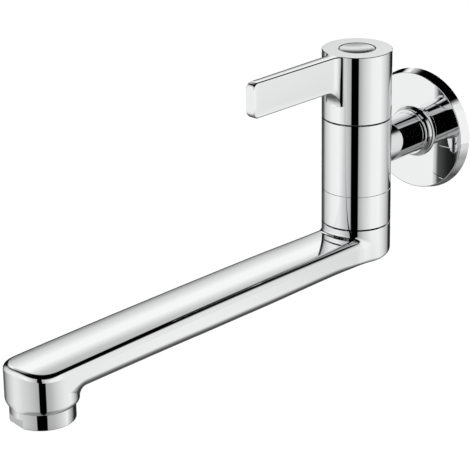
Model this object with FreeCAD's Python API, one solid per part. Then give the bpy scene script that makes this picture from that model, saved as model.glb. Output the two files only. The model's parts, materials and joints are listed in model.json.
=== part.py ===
import FreeCAD, Part
import math
import os

# Wall-mounted kitchen tap for one water supply. All sizes are in millimetres.
# The wall's surface is the plane y = 0 and the inlet axis is the Y axis, with +Y into the wall.
# The tap stands out towards -Y, +Z is up, and +X is to the right of someone who faces it.

# Barrel that the handle and the spout turn about
axis_to_wall = 51.55
barrel_radius = 17.25
barrel_above_inlet = 19.6
barrel_below_inlet = 17.15
seam_bevel = 0.25
turning_gap = 0.4
fit_gap = 0.05
thread_gap = 0.1

# Inlet arm and its half-inch pipe thread, which the headwork's thread repeats
arm_radius = 10.65
arm_bore_radius = 7.0
arm_root_fillet = 1.5
pipe_thread_radius = 10.4775
pipe_thread_pitch = 1.814
pipe_thread_depth = 1.16
nipple_into_wall = 15.8
nipple_relief = 0.6

# Wall flange, a hollow turned cover with a flared neck
flange_back_radius = 31.4
flange_front_radius = 30.0
flange_depth = 5.5
flange_wall = 2.2
flange_edge_bevel = 0.5
neck_radius = 11.9
neck_length = 4.5
neck_foot_fillet = 2.0
neck_lip_round = 0.6
flange_boss_radius = 14.6
flange_boss_reach = 0.4
flange_ring_thickness = 1.8

# Chambers inside the barrel
chamber_radius = 12.6
chamber_ceiling = 6.0
seat_height = -9.5
seat_web = 2.6
seat_hole_radius = 5.5
socket_ceiling = -14.2
outlet_throat_radius = 9.0
top_recess_radius = 14.6
top_recess_depth = 4.0

# Ceramic headwork
headwork_flange_radius = 12.4
headwork_flange_thickness = 2.4
headwork_gasket_thickness = 1.0
headwork_gasket_width = 1.5
headwork_hex_across_flats = 19.0
headwork_hex_height = 7.0
headwork_neck_radius = 7.5
headwork_neck_height = 4.0
headwork_skirt_radius = 9.2
headwork_skirt_bore = 7.7
skirt_above_seat = 1.0
disc_radius = 7.5
disc_thickness = 3.0
disc_film = 0.02
disc_port_radius = 5.8
disc_port_inner = 1.8
disc_port_angle = 84.0
seat_seal_thickness = 2.6
seat_seal_width = 2.4
window_width = 10.0
window_height = 4.0
driver_radius = 7.2
driver_thickness = 2.4
driver_clearance = 2.2
tongue_width = 3.0
tongue_length = 11.0
tongue_depth = 1.6
slip_washer_thickness = 0.6

# Spindle, its rings, and the spline that carries the handle
spindle_radius = 4.4
spindle_ring_thickness = 1.8
spindle_ring_spacing = 5.0
spindle_ring_drop = 4.0
clip_thickness = 0.8
clip_width = 1.9
clip_groove_depth = 0.8
clip_gap_angle = 70.0
spline_radius = 4.0
spline_depth = 0.4
spline_teeth = 20
spline_length = 9.0
spline_above_clip = 2.0
handle_screw_radius = 2.0
handle_screw_grip = 8.0
handle_screw_head_radius = 3.6
handle_screw_head_height = 2.4
handle_screw_socket_width = 2.0
handle_screw_socket_floor = 1.0

# Handle with its flat blade
handle_height = 34.2
handle_cavity_radius = 13.6
handle_boss_radius = 7.2
handle_web_thickness = 4.5
handle_turn_at_rest = 2.0
blade_reach = 76.1
blade_height_at_tip = 17.5
blade_height_at_hub = 17.3
blade_half_width_at_tip = 2.55
blade_half_width_at_hub = 3.25
blade_tip_round = 3.2
blade_root_fillet = 4.5
blade_under_fillet = 8.0
blade_edge_round = 0.5

# Cap in the handle's top
cap_radius = 8.95
cap_side_gap = 0.15
cap_depth = 4.2
cap_plate = 2.0
cap_wall = 2.0
cap_step = 1.0
cap_dish_depth = 0.8
cap_below_rim = 0.15

# Ring that centres the handle on the barrel
guide_wall = 1.2
guide_height_above_barrel = 5.0

# Swivel joint under the barrel
nut_height = 17.45
swivel_thread_radius = 15.0
swivel_thread_pitch = 1.5
swivel_thread_depth = 0.92
swivel_thread_length = 10.0
nut_lip = 4.0
tail_radius = 10.0
tail_bore_radius = 7.0
tail_top_gap = 0.8
tail_ring_thickness = 2.0
tail_ring_spacing = 4.6
tail_ring_drop = 3.4
tail_shoulder_radius = 12.5
tail_shoulder_height = 2.0
tail_thread_pitch = 1.0
tail_thread_depth = 0.61
tail_thread_length = 6.4
slip_washer_wall = 1.0
split_ring_thickness = 1.5
split_ring_bite = 1.0
split_ring_gap_angle = 24.0
bush_wall = 1.0

# Spout: pairs are (distance from the barrel's axis, half width) and (the same, depth under its top).
# Its flare's two numbers are shares of the barrel's radius.
spout_flare = (
    (0.3768, 0.9391),
    (0.7536, 0.8580),
)
spout_half_widths = (
    (22.0, 14.35),
    (37.0, 14.65),
    (60.0, 14.85),
    (100.0, 15.0),
    (145.0, 15.3),
    (192.0, 15.6),
)
spout_depths = (
    (0.0, 12.5),
    (18.0, 14.0),
    (37.0, 13.95),
    (64.0, 13.5),
    (100.0, 12.9),
    (145.0, 11.85),
    (192.0, 10.9),
)
spout_depth_at_back = 11.1
spout_depth_at_outlet = 10.5
spout_band_height = 4.5
spout_tilt = 2.2
spout_wall = 2.2
spout_crown_rise = 0.8
spout_top_edge_round = 3.0
spout_low_edge_round = 3.0
spout_reach = 217.8
tail_boss_wall = 2.4
block_half_width = 15.6
block_half_depth = 14.6
block_corner_radius = 10.0
outlet_depth = 18.7
block_foot_height = 2.8

# Aerator
aerator_thread_radius = 12.0
aerator_thread_pitch = 1.0
aerator_thread_depth = 0.61
aerator_thread_length = 5.4
aerator_skirt_radius = 14.7
aerator_skirt_height = 7.6
aerator_wall = 1.6
aerator_lip = 1.2
aerator_across_flats = 28.0
aerator_flat_height = 3.3
aerator_flat_turn = 8.0
aerator_washer_thickness = 1.6
aerator_washer_width = 2.6
aerator_core_height = 5.6
aerator_core_plate = 2.0
aerator_core_rim = 1.2
aerator_core_holes = 12
aerator_core_hole_radius = 0.9
screen_thickness = 0.3
screen_gap = 0.9
screen_count = 3
screen_opening = 1.1
screen_pitch = 1.7

# Places that follow from the sizes above
tap_y = -axis_to_wall
outlet_y = tap_y - spout_reach
recess_floor = barrel_above_inlet - top_recess_depth
headwork_seat = recess_floor
flange_ring_y = -(flange_depth - flange_wall + flange_boss_reach) / 2
skirt_foot = seat_height + skirt_above_seat
fixed_disc_low = seat_height + seat_seal_thickness
moving_disc_low = fixed_disc_low + disc_thickness + disc_film
moving_disc_high = moving_disc_low + disc_thickness
driver_low = moving_disc_high + driver_clearance
driver_high = driver_low + driver_thickness
spindle_room_high = driver_high + slip_washer_thickness
hex_low = headwork_seat + headwork_flange_thickness
hex_high = hex_low + headwork_hex_height
headwork_top = hex_high + headwork_neck_height
clip_low = headwork_top + fit_gap
clip_high = clip_low + clip_thickness
spline_low = clip_high + spline_above_clip
spline_high = spline_low + spline_length
spindle_ring_high = headwork_top - spindle_ring_drop
handle_foot = barrel_above_inlet + turning_gap
handle_top = handle_foot + handle_height
handle_web_low = spline_high + thread_gap
handle_web_high = handle_web_low + handle_web_thickness
cap_high = handle_top - cap_below_rim
cap_low = cap_high - cap_depth
nut_foot = -barrel_below_inlet - nut_height
nut_lip_top = nut_foot + nut_lip
spigot_foot = -barrel_below_inlet - swivel_thread_length
split_ring_high = spigot_foot - slip_washer_wall - fit_gap
split_ring_low = split_ring_high - split_ring_thickness
tail_top = socket_ceiling - tail_top_gap
spout_hub_top = nut_foot - turning_gap
shoulder_low = spout_hub_top - tail_shoulder_height
tail_foot = shoulder_low - tail_thread_length
spout_top = spout_hub_top - spout_band_height
spout_low_at_outlet = spout_top - spout_depth_at_outlet
spout_low = spout_top - max(depth for distance, depth in spout_depths)
spout_tip_top = spout_top + spout_tilt
block_low = spout_tip_top - outlet_depth
block_front = outlet_y - block_half_depth
washer_high = block_low + aerator_thread_length + aerator_washer_thickness
aerator_low = block_low - aerator_skirt_height

# Margin by which a cutting shape passes the surface that it cuts
over = 1.0

# Two sizes closer than this are the same size
same_size = 0.001

# Behind the spout's hub, where its underside's curve starts
hub_back = tap_y + barrel_radius + over

upward = FreeCAD.Vector(0, 0, 1)
wallward = FreeCAD.Vector(0, 1, 0)


def vector(x, y, z):
    return FreeCAD.Vector(x, y, z)


def rod(radius, low, high, centre_y=tap_y):
    return Part.makeCylinder(radius, high - low, vector(0, centre_y, low))


def ring(outer, inner, low, high, centre_y=tap_y):
    return rod(outer, low, high, centre_y).cut(rod(inner, low - over, high + over, centre_y))


def level_rod(radius, front, back):
    return Part.makeCylinder(radius, back - front, vector(0, front, 0), wallward)


def box(x_low, x_high, y_low, y_high, z_low, z_high):
    corner = vector(x_low, y_low, z_low)
    return Part.makeBox(x_high - x_low, y_high - y_low, z_high - z_low, corner)


def turned_upright(profile, centre_y=tap_y):
    # Turns a list of (radius, height) pairs about a vertical axis.
    points = [vector(radius, centre_y, height) for radius, height in profile]
    face = Part.Face(Part.makePolygon(points + points[:1]))
    return face.revolve(vector(0, centre_y, 0), upward, 360)


def turned_level(profile):
    # Turns a list of (radius, y) pairs about the inlet axis.
    points = [vector(radius, y, 0) for radius, y in profile]
    face = Part.Face(Part.makePolygon(points + points[:1]))
    return face.revolve(vector(0, 0, 0), wallward, 360)


def thread_profile(radius, depth, pitch, start, end):
    # Each ridge has a flat crest an eighth of the pitch wide on either side of its pitch mark.
    count = int((end - start) / pitch)
    profile = [(0, start), (radius - depth, start)]
    for index in range(count):
        middle = start + (index + 0.5) * pitch
        profile.append((radius, middle - pitch / 8))
        profile.append((radius, middle + pitch / 8))
        profile.append((radius - depth, middle + pitch / 2))
    profile.append((radius - depth, end))
    profile.append((0, end))
    return profile


def circles(solid, radius, level, axis):
    # The circular edges of one radius at one level along an axis of the frame.
    found = []
    for edge in solid.Edges:
        curve = edge.Curve
        if not isinstance(curve, Part.Circle):
            continue
        if abs(curve.Radius - radius) < same_size and abs(curve.Center * axis - level) < same_size:
            found.append(edge)
    return found


def bevelled(solid, bevel, radius, level):
    return solid.makeChamfer(bevel, circles(solid, radius, level, upward))


def sealing_ring(radius, thickness, level, centre_y=tap_y):
    # A round-section ring whose outside has the given radius.
    section = thickness / 2
    return Part.makeTorus(radius - section, section, vector(0, centre_y, level))


def wedge(radius, low, high, middle_angle, spread):
    # A slice of a rod on the tap's axis, with its middle at an angle from +X.
    slice_of_rod = Part.makeCylinder(radius, high - low, vector(0, 0, low), upward, spread)
    slice_of_rod.rotate(vector(0, 0, 0), upward, middle_angle - spread / 2)
    slice_of_rod.translate(vector(0, tap_y, 0))
    return slice_of_rod


def splined_rod(radius, depth, low, high):
    # A rod with pointed teeth all round.
    points = []
    for index in range(2 * spline_teeth):
        reach = radius if index % 2 == 0 else radius - depth
        angle = math.pi * index / spline_teeth
        points.append(vector(reach * math.cos(angle), tap_y + reach * math.sin(angle), low))
    face = Part.Face(Part.makePolygon(points + points[:1]))
    return face.extrude(vector(0, 0, high - low))


def hexagon(across_flats, low, high):
    corner = across_flats / math.sqrt(3)
    points = []
    for index in range(6):
        angle = math.radians(60 * index + 30)
        points.append(vector(corner * math.cos(angle), tap_y + corner * math.sin(angle), low))
    face = Part.Face(Part.makePolygon(points + points[:1]))
    return face.extrude(vector(0, 0, high - low))


def valve_body():
    barrel = rod(barrel_radius, -barrel_below_inlet, barrel_above_inlet)
    arm = level_rod(arm_radius, tap_y, -nipple_relief)
    solid = barrel.fuse(arm)
    corner = [edge for edge in solid.Edges if not isinstance(edge.Curve, (Part.Circle, Part.Line))]
    solid = solid.makeFillet(arm_root_fillet, corner)
    solid = bevelled(solid, seam_bevel, barrel_radius, barrel_above_inlet)
    solid = bevelled(solid, seam_bevel, barrel_radius, -barrel_below_inlet)
    nipple = turned_level(
        thread_profile(
            pipe_thread_radius, pipe_thread_depth, pipe_thread_pitch, -nipple_relief, nipple_into_wall
        )
    )
    spigot = turned_upright(
        thread_profile(
            swivel_thread_radius,
            swivel_thread_depth,
            swivel_thread_pitch,
            spigot_foot,
            -barrel_below_inlet,
        )
    )
    solid = solid.fuse([nipple, spigot])
    inlet = level_rod(arm_bore_radius, tap_y + chamber_radius - over, nipple_into_wall + over)
    chamber = rod(chamber_radius, seat_height, chamber_ceiling)
    seat_hole = rod(seat_hole_radius, socket_ceiling - over, seat_height + over)
    below_seat = rod(outlet_throat_radius, socket_ceiling, seat_height - seat_web)
    socket = rod(tail_radius + fit_gap, spigot_foot - over, socket_ceiling)
    headwork_hole = turned_upright(
        thread_profile(
            pipe_thread_radius + thread_gap,
            pipe_thread_depth,
            pipe_thread_pitch,
            chamber_ceiling,
            headwork_seat,
        )
    )
    gasket_room = rod(headwork_flange_radius, headwork_seat - headwork_gasket_thickness, headwork_seat)
    recess = rod(top_recess_radius, headwork_seat, barrel_above_inlet + over)
    return solid.cut([inlet, chamber, seat_hole, below_seat, socket, headwork_hole, gasket_room, recess])


def wall_flange():
    front = -flange_depth
    profile = [
        (arm_radius + fit_gap, front - neck_length),
        (neck_radius, front - neck_length),
        (neck_radius, front),
        (flange_front_radius - flange_edge_bevel, front),
        (flange_front_radius, front + flange_edge_bevel),
        (flange_back_radius, 0),
        (flange_back_radius - flange_wall, 0),
        (flange_back_radius - flange_wall, front + flange_wall),
        (flange_boss_radius, front + flange_wall),
        (flange_boss_radius, -flange_boss_reach),
        (arm_radius + fit_gap, -flange_boss_reach),
    ]
    solid = turned_level(profile)
    solid = solid.makeFillet(neck_foot_fillet, circles(solid, neck_radius, front, wallward))
    lip = circles(solid, neck_radius, front - neck_length, wallward)
    solid = solid.makeFillet(neck_lip_round, lip)
    groove_radius = arm_radius + flange_ring_thickness + fit_gap
    half_width = flange_ring_thickness / 2 + fit_gap
    groove = level_rod(groove_radius, flange_ring_y - half_width, flange_ring_y + half_width)
    return solid.cut(groove)


def flange_seal_ring():
    # It sits in the flange's groove and grips the arm.
    half_ring = flange_ring_thickness / 2
    centre = vector(0, flange_ring_y, 0)
    return Part.makeTorus(arm_radius + half_ring, half_ring, centre, wallward)


def headwork_housing():
    profile = thread_profile(
        pipe_thread_radius, pipe_thread_depth, pipe_thread_pitch, chamber_ceiling, headwork_seat
    )
    solid = turned_upright(profile)
    solid = solid.fuse(
        [
            rod(headwork_skirt_radius, skirt_foot, chamber_ceiling),
            rod(headwork_flange_radius - fit_gap, headwork_seat, hex_low),
            hexagon(headwork_hex_across_flats, hex_low, hex_high),
            rod(headwork_neck_radius, hex_high, headwork_top),
        ]
    )
    disc_room = rod(headwork_skirt_bore, skirt_foot - over, spindle_room_high)
    spindle_hole = rod(spindle_radius + fit_gap, spindle_room_high - over, headwork_top + over)
    half = window_width / 2
    reach = headwork_skirt_radius + over
    window_low = moving_disc_high
    window_x = box(-reach, reach, tap_y - half, tap_y + half, window_low, window_low + window_height)
    return solid.cut([disc_room, spindle_hole, window_x])


def headwork_gasket():
    outer = headwork_flange_radius - fit_gap
    low = headwork_seat - headwork_gasket_thickness
    return ring(outer, outer - headwork_gasket_width, low, headwork_seat)


def seat_seal():
    outer = headwork_skirt_bore - fit_gap
    return ring(outer, outer - seat_seal_width, seat_height, fixed_disc_low)


def ported_disc(low):
    # A round disc with two opposite sector ports.
    high = low + disc_thickness
    disc = rod(disc_radius, low, high)
    ports = [
        wedge(disc_port_radius, low - over, high + over, middle_angle, disc_port_angle)
        for middle_angle in (0, 180)
    ]
    return disc.cut(ports).fuse(rod(disc_port_inner, low, high)).removeSplitter()


def fixed_disc():
    return ported_disc(fixed_disc_low)


def tongue(clearance):
    half_width = tongue_width / 2 + clearance
    half_length = tongue_length / 2 + clearance
    low = moving_disc_high - tongue_depth
    return box(
        -half_width, half_width, tap_y - half_length, tap_y + half_length, low, driver_low + over
    )


def moving_disc():
    # At rest its ports stand a quarter turn from the fixed disc's, so the tap is shut.
    disc = ported_disc(moving_disc_low)
    disc.rotate(vector(0, tap_y, 0), upward, 90)
    slot = tongue(fit_gap)
    slot.rotate(vector(0, tap_y, 0), upward, 90)
    return disc.cut(slot)


def spindle():
    driver = rod(driver_radius, driver_low, driver_high)
    blade = tongue(0)
    blade.rotate(vector(0, tap_y, 0), upward, 90)
    shaft = rod(spindle_radius, driver_high - over, spline_low)
    spline = splined_rod(spline_radius, spline_depth, spline_low - over, spline_high)
    solid = driver.fuse([blade, shaft, spline])
    cuts = [ring(spindle_radius + over, spindle_radius - clip_groove_depth, clip_low, clip_high)]
    for level in spindle_ring_levels():
        half = spindle_ring_thickness / 2 + fit_gap
        floor = spindle_radius - spindle_ring_thickness - fit_gap
        cuts.append(ring(spindle_radius + over, floor, level - half, level + half))
    cuts.append(rod(handle_screw_radius, spline_high - handle_screw_grip - over, spline_high + over))
    return solid.cut(cuts)


def spindle_ring_levels():
    return [spindle_ring_high - spindle_ring_spacing * index for index in range(2)]


def spindle_rings():
    rings = [sealing_ring(spindle_radius, spindle_ring_thickness, level) for level in spindle_ring_levels()]
    return Part.makeCompound(rings)


def spindle_slip_washer():
    return ring(driver_radius, spindle_radius + fit_gap, driver_high + disc_film, spindle_room_high)


def spindle_clip():
    inner = spindle_radius - clip_groove_depth + disc_film
    whole = ring(inner + clip_width, inner, clip_low + disc_film, clip_high - disc_film)
    opening = wedge(inner + clip_width + over, clip_low - over, clip_high + over, 90, clip_gap_angle)
    return whole.cut(opening)


def blade_plan():
    # Seen from above: a blade that narrows to its tip, with a hollow round into the hub on each side.
    hub_y = -math.sqrt(
        (barrel_radius + blade_root_fillet) ** 2 - (blade_half_width_at_hub + blade_root_fillet) ** 2
    )
    centre_x = blade_half_width_at_hub + blade_root_fillet
    share = barrel_radius / (barrel_radius + blade_root_fillet)
    turn = math.atan2(-hub_y, centre_x) / 2
    middle = vector(
        centre_x - blade_root_fillet * math.cos(turn), hub_y + blade_root_fillet * math.sin(turn), 0
    )
    right = [
        vector(blade_half_width_at_tip, -blade_reach - over, 0),
        vector(blade_half_width_at_hub, hub_y, 0),
        middle,
        vector(centre_x * share, hub_y * share, 0),
    ]
    left = [vector(-point.x, point.y, 0) for point in right]
    edges = [
        Part.makeLine(left[0], right[0]),
        Part.makeLine(right[0], right[1]),
        Part.Arc(right[1], right[2], right[3]).toShape(),
        Part.makeLine(right[3], left[3]),
        Part.Arc(left[3], left[2], left[1]).toShape(),
        Part.makeLine(left[1], left[0]),
    ]
    return Part.Face(Part.Wire(edges))


def blade_side():
    # Seen from the side: rounded tip corners and a hollow round under the root.
    tip_low = handle_top - blade_height_at_tip
    hub_low = handle_top - blade_height_at_hub
    root_y = -barrel_radius - blade_under_fillet
    tip_round = blade_tip_round
    slope = math.sqrt(0.5)
    points = [
        vector(0, 0, handle_top),
        vector(0, -blade_reach + tip_round, handle_top),
        vector(0, -blade_reach + tip_round * (1 - slope), handle_top - tip_round * (1 - slope)),
        vector(0, -blade_reach, handle_top - tip_round),
        vector(0, -blade_reach, tip_low + tip_round),
        vector(0, -blade_reach + tip_round * (1 - slope), tip_low + tip_round * (1 - slope)),
        vector(0, -blade_reach + tip_round, tip_low),
        vector(0, root_y, hub_low),
        vector(0, root_y + blade_under_fillet * slope, hub_low - blade_under_fillet * (1 - slope)),
        vector(0, -barrel_radius, hub_low - blade_under_fillet),
        vector(0, 0, hub_low - blade_under_fillet),
    ]
    edges = [
        Part.makeLine(points[0], points[1]),
        Part.Arc(points[1], points[2], points[3]).toShape(),
        Part.makeLine(points[3], points[4]),
        Part.Arc(points[4], points[5], points[6]).toShape(),
        Part.makeLine(points[6], points[7]),
        Part.Arc(points[7], points[8], points[9]).toShape(),
        Part.makeLine(points[9], points[10]),
        Part.makeLine(points[10], points[0]),
    ]
    return Part.Face(Part.Wire(edges))


def handle_blade():
    plan = blade_plan()
    plan.translate(vector(0, tap_y, handle_foot))
    side = blade_side()
    side.translate(vector(-barrel_radius, tap_y, 0))
    upright = plan.extrude(vector(0, 0, handle_height + over))
    across = side.extrude(vector(2 * barrel_radius, 0, 0))
    blade = upright.common(across)
    long_edges = []
    for edge in blade.Edges:
        bounds = edge.BoundBox
        outside_hub = bounds.YMax < tap_y - barrel_radius - blade_root_fillet + over
        crosswise = bounds.XLength > blade_half_width_at_tip
        along_side = not crosswise and bounds.YLength + bounds.ZLength > over
        if outside_hub and along_side:
            long_edges.append(edge)
    return blade.makeFillet(blade_edge_round, long_edges)


def handle():
    hub = rod(barrel_radius, handle_foot, handle_top)
    blade = handle_blade()
    blade.rotate(vector(0, tap_y, 0), upward, -handle_turn_at_rest)
    solid = hub.fuse(blade).removeSplitter()
    solid = bevelled(solid, seam_bevel, barrel_radius, handle_foot)
    cavity = rod(handle_cavity_radius, handle_foot - over, handle_web_low)
    boss = rod(handle_boss_radius, spline_low, handle_web_low + over)
    bore = splined_rod(spline_radius + fit_gap, spline_depth, spline_low - over, handle_web_low)
    cap_room = rod(cap_radius + cap_side_gap, cap_low, handle_top + over)
    screw_room = rod(cap_radius - cap_step, handle_web_high, cap_low + over)
    screw_hole = rod(handle_screw_radius + thread_gap, handle_web_low - over, handle_web_high + over)
    solid = solid.cut([cavity, cap_room, screw_room])
    return solid.fuse(boss).cut([bore, screw_hole])


def handle_screw():
    shank = rod(handle_screw_radius - fit_gap, spline_high - handle_screw_grip, handle_web_high)
    head = rod(handle_screw_head_radius, handle_web_high, handle_web_high + handle_screw_head_height)
    socket_low = handle_web_high + handle_screw_socket_floor
    socket_high = handle_web_high + handle_screw_head_height + over
    socket = hexagon(handle_screw_socket_width, socket_low, socket_high)
    return shank.fuse(head).cut(socket)


def handle_cap():
    solid = rod(cap_radius, cap_low, cap_high)
    hollow = rod(cap_radius - cap_wall, cap_low - over, cap_high - cap_plate)
    dish_radius = (cap_radius ** 2 + cap_dish_depth ** 2) / (2 * cap_dish_depth)
    dish = Part.makeSphere(dish_radius, vector(0, tap_y, cap_high - cap_dish_depth + dish_radius))
    return solid.cut([hollow, dish])


def handle_guide_ring():
    lower_outer = top_recess_radius - fit_gap
    upper_outer = handle_cavity_radius - fit_gap
    inner = upper_outer - guide_wall
    seat = ring(lower_outer, max(inner, headwork_flange_radius), recess_floor, barrel_above_inlet)
    collar = ring(upper_outer, inner, hex_low, barrel_above_inlet + guide_height_above_barrel)
    return seat.fuse(collar)


def swivel_nut():
    solid = rod(barrel_radius, nut_foot, -barrel_below_inlet)
    solid = bevelled(solid, seam_bevel, barrel_radius, nut_foot)
    solid = bevelled(solid, seam_bevel, barrel_radius, -barrel_below_inlet)
    female = turned_upright(
        thread_profile(
            swivel_thread_radius + thread_gap,
            swivel_thread_depth,
            swivel_thread_pitch,
            spigot_foot,
            -barrel_below_inlet,
        )
    )
    room = rod(swivel_thread_radius - swivel_thread_depth, nut_lip_top, spigot_foot + over)
    lip_hole = rod(bush_radius(), nut_foot - over, nut_lip_top + over)
    return solid.cut([female, room, lip_hole])


def bush_radius():
    return tail_radius + 2 * fit_gap + bush_wall


def slip_flange_radius():
    return swivel_thread_radius - swivel_thread_depth - 2 * fit_gap


def upper_slip_washer():
    low = spigot_foot - slip_washer_wall
    return ring(slip_flange_radius(), tail_radius + fit_gap, low, spigot_foot)


def lower_slip_bush():
    outer = bush_radius() - fit_gap / 2
    inner = tail_radius + fit_gap
    sleeve = ring(outer, inner, nut_foot, nut_lip_top)
    collar = ring(slip_flange_radius(), inner, nut_lip_top, split_ring_low - fit_gap)
    return sleeve.fuse(collar)


def split_ring():
    inner = tail_radius - split_ring_bite + disc_film
    outer = slip_flange_radius() - fit_gap
    whole = ring(outer, inner, split_ring_low, split_ring_high)
    low = split_ring_low - over
    opening = wedge(outer + over, low, split_ring_high + over, 90, split_ring_gap_angle)
    return whole.cut(opening)


def spout_tail():
    solid = rod(tail_radius, shoulder_low, tail_top)
    thread = turned_upright(
        thread_profile(tail_radius, tail_thread_depth, tail_thread_pitch, tail_foot, shoulder_low)
    )
    shoulder = rod(tail_shoulder_radius, shoulder_low, spout_hub_top)
    solid = solid.fuse([thread, shoulder])
    groove = ring(
        tail_radius + over,
        tail_radius - split_ring_bite,
        split_ring_low - disc_film,
        split_ring_high + disc_film,
    )
    cuts = [rod(tail_bore_radius, tail_foot - over, tail_top + over), groove]
    for level in tail_ring_levels():
        half = tail_ring_thickness / 2 + fit_gap
        floor = tail_radius - tail_ring_thickness - fit_gap
        cuts.append(ring(tail_radius + over, floor, level - half, level + half))
    return solid.cut(cuts)


def tail_ring_levels():
    return [tail_top - tail_ring_drop - tail_ring_spacing * index for index in range(2)]


def tail_rings():
    rings = [sealing_ring(tail_radius, tail_ring_thickness, level) for level in tail_ring_levels()]
    return Part.makeCompound(rings)


def side_curve(inset):
    # The spout's right side seen from above, a smooth curve from the hub's circle to the outlet.
    points = [vector(barrel_radius - inset, 0, 0)]
    for distance_share, width_share in spout_flare:
        points.append(vector(width_share * barrel_radius - inset, -distance_share * barrel_radius, 0))
    for distance, half_width in spout_half_widths:
        points.append(vector(half_width - inset, -distance, 0))
    points.append(vector(block_half_width - inset, -spout_reach, 0))
    curve = Part.BSplineCurve()
    forward = vector(0, -1, 0)
    curve.interpolate(Points=points, InitialTangent=forward, FinalTangent=forward)
    return curve.toShape()


def rounded_front(inset):
    # The outlet's front half seen from above: two round corners and a straight front.
    corner = block_corner_radius - inset
    side = block_half_width - inset
    front = -spout_reach - block_half_depth + inset
    slope = math.sqrt(0.5)
    centre_x = side - corner
    centre_y = front + corner
    right = vector(side, -spout_reach, 0)
    start = vector(side, centre_y, 0)
    middle = vector(centre_x + corner * slope, centre_y - corner * slope, 0)
    end = vector(centre_x, front, 0)
    mirror = [vector(-point.x, point.y, 0) for point in (right, start, middle, end)]
    return [
        Part.makeLine(right, start),
        Part.Arc(start, middle, end).toShape(),
        Part.makeLine(end, mirror[3]),
        Part.Arc(mirror[3], mirror[2], mirror[1]).toShape(),
        Part.makeLine(mirror[1], mirror[0]),
    ]


def bar_plan(inset):
    right = side_curve(inset)
    left = right.mirror(vector(0, 0, 0), vector(1, 0, 0))
    radius = barrel_radius - inset
    back = Part.Arc(vector(-radius, 0, 0), vector(0, radius, 0), vector(radius, 0, 0)).toShape()
    edges = Part.__sortEdges__([back, right, left] + rounded_front(inset))
    face = Part.Face(Part.Wire(edges))
    face.translate(vector(0, tap_y, 0))
    return face


def underside_curve(inset):
    points = [vector(0, hub_back, spout_top - spout_depth_at_back + inset)]
    for distance, depth in spout_depths:
        points.append(vector(0, tap_y - distance, spout_top - depth + inset))
    points.append(vector(0, outlet_y, spout_low_at_outlet + inset))
    curve = Part.BSplineCurve()
    curve.interpolate(points)
    return curve.toShape()


def bar_side(inset):
    # The spout's bar seen from the side, open at the top to the crown that closes it.
    tip_y = block_front - over
    high = spout_tip_top + spout_crown_rise + over
    corners = [
        vector(0, hub_back, spout_top - spout_depth_at_back + inset),
        vector(0, hub_back, high),
        vector(0, tip_y, high),
        vector(0, tip_y, spout_low_at_outlet + inset),
        vector(0, outlet_y, spout_low_at_outlet + inset),
    ]
    straight = Part.makePolygon(corners).Edges
    face = Part.Face(Part.Wire(Part.__sortEdges__([underside_curve(inset)] + straight)))
    face.translate(vector(-barrel_radius - over, 0, 0))
    return face.extrude(vector(2 * (barrel_radius + over), 0, 0))


def crown(inset):
    # A long cylinder whose upper side is the spout's gently crowned top.
    rise = spout_crown_rise
    radius = (block_half_width ** 2 + rise ** 2) / (2 * rise) - inset
    slope = spout_tilt / (spout_reach + block_half_depth)
    lean = vector(0, -1, slope)
    depth = radius + inset - rise
    start = vector(0, tap_y, spout_top - depth) - lean * 2 * barrel_radius
    return Part.makeCylinder(radius, spout_reach + 4 * barrel_radius, start, lean)


def spout_bar(inset):
    plan = bar_plan(inset)
    plan.translate(vector(0, 0, spout_low - over))
    upright = plan.extrude(vector(0, 0, spout_tip_top + spout_crown_rise - spout_low + 2 * over))
    return upright.common(bar_side(inset)).common(crown(inset))


def long_edges(bar, low_side):
    # The bar's lower or upper outline: every edge that isn't upright.
    middle = (spout_top + spout_low_at_outlet) / 2
    found = []
    for edge in bar.Edges:
        bounds = edge.BoundBox
        if bounds.XLength + bounds.YLength < over:
            continue
        if (bounds.Center.z < middle) == low_side:
            found.append(edge)
    return found


def block_outline(level):
    corner = block_corner_radius
    side = block_half_width
    depth = block_half_depth
    slope = math.sqrt(0.5)
    edges = []
    for turn in range(4):
        angle = math.radians(90 * turn)
        reach_x, reach_y = (side, depth) if turn % 2 == 0 else (depth, side)
        next_start = vector(reach_x - corner, reach_y, 0)
        middle = vector(reach_x - corner + corner * slope, reach_y - corner + corner * slope, 0)
        start = vector(reach_x, reach_y - corner, 0)
        before = vector(reach_x, -reach_y + corner, 0)
        for edge in (Part.makeLine(before, start), Part.Arc(start, middle, next_start).toShape()):
            edge.rotate(vector(0, 0, 0), upward, math.degrees(angle))
            edge.translate(vector(0, outlet_y, level))
            edges.append(edge)
    return Part.Wire(Part.__sortEdges__(edges))


def foot_circle(level):
    # The aerator's circle, split where the rounded outline above it is split.
    radius = aerator_skirt_radius
    edges = []
    for index in range(8):
        low_angle = math.radians(45 * index - 22.5)
        points = [
            vector(
                radius * math.cos(low_angle + step * math.radians(22.5)),
                outlet_y + radius * math.sin(low_angle + step * math.radians(22.5)),
                level,
            )
            for step in range(3)
        ]
        edges.append(Part.Arc(points[0], points[1], points[2]).toShape())
    return Part.Wire(edges)


def outlet_block():
    outline = block_outline(block_low + block_foot_height)
    top = spout_low_at_outlet + spout_low_edge_round + over
    upright = Part.Face(outline).extrude(vector(0, 0, top - block_low - block_foot_height))
    foot = Part.makeLoft([foot_circle(block_low), outline], True, True)
    return upright.fuse(foot)


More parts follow.
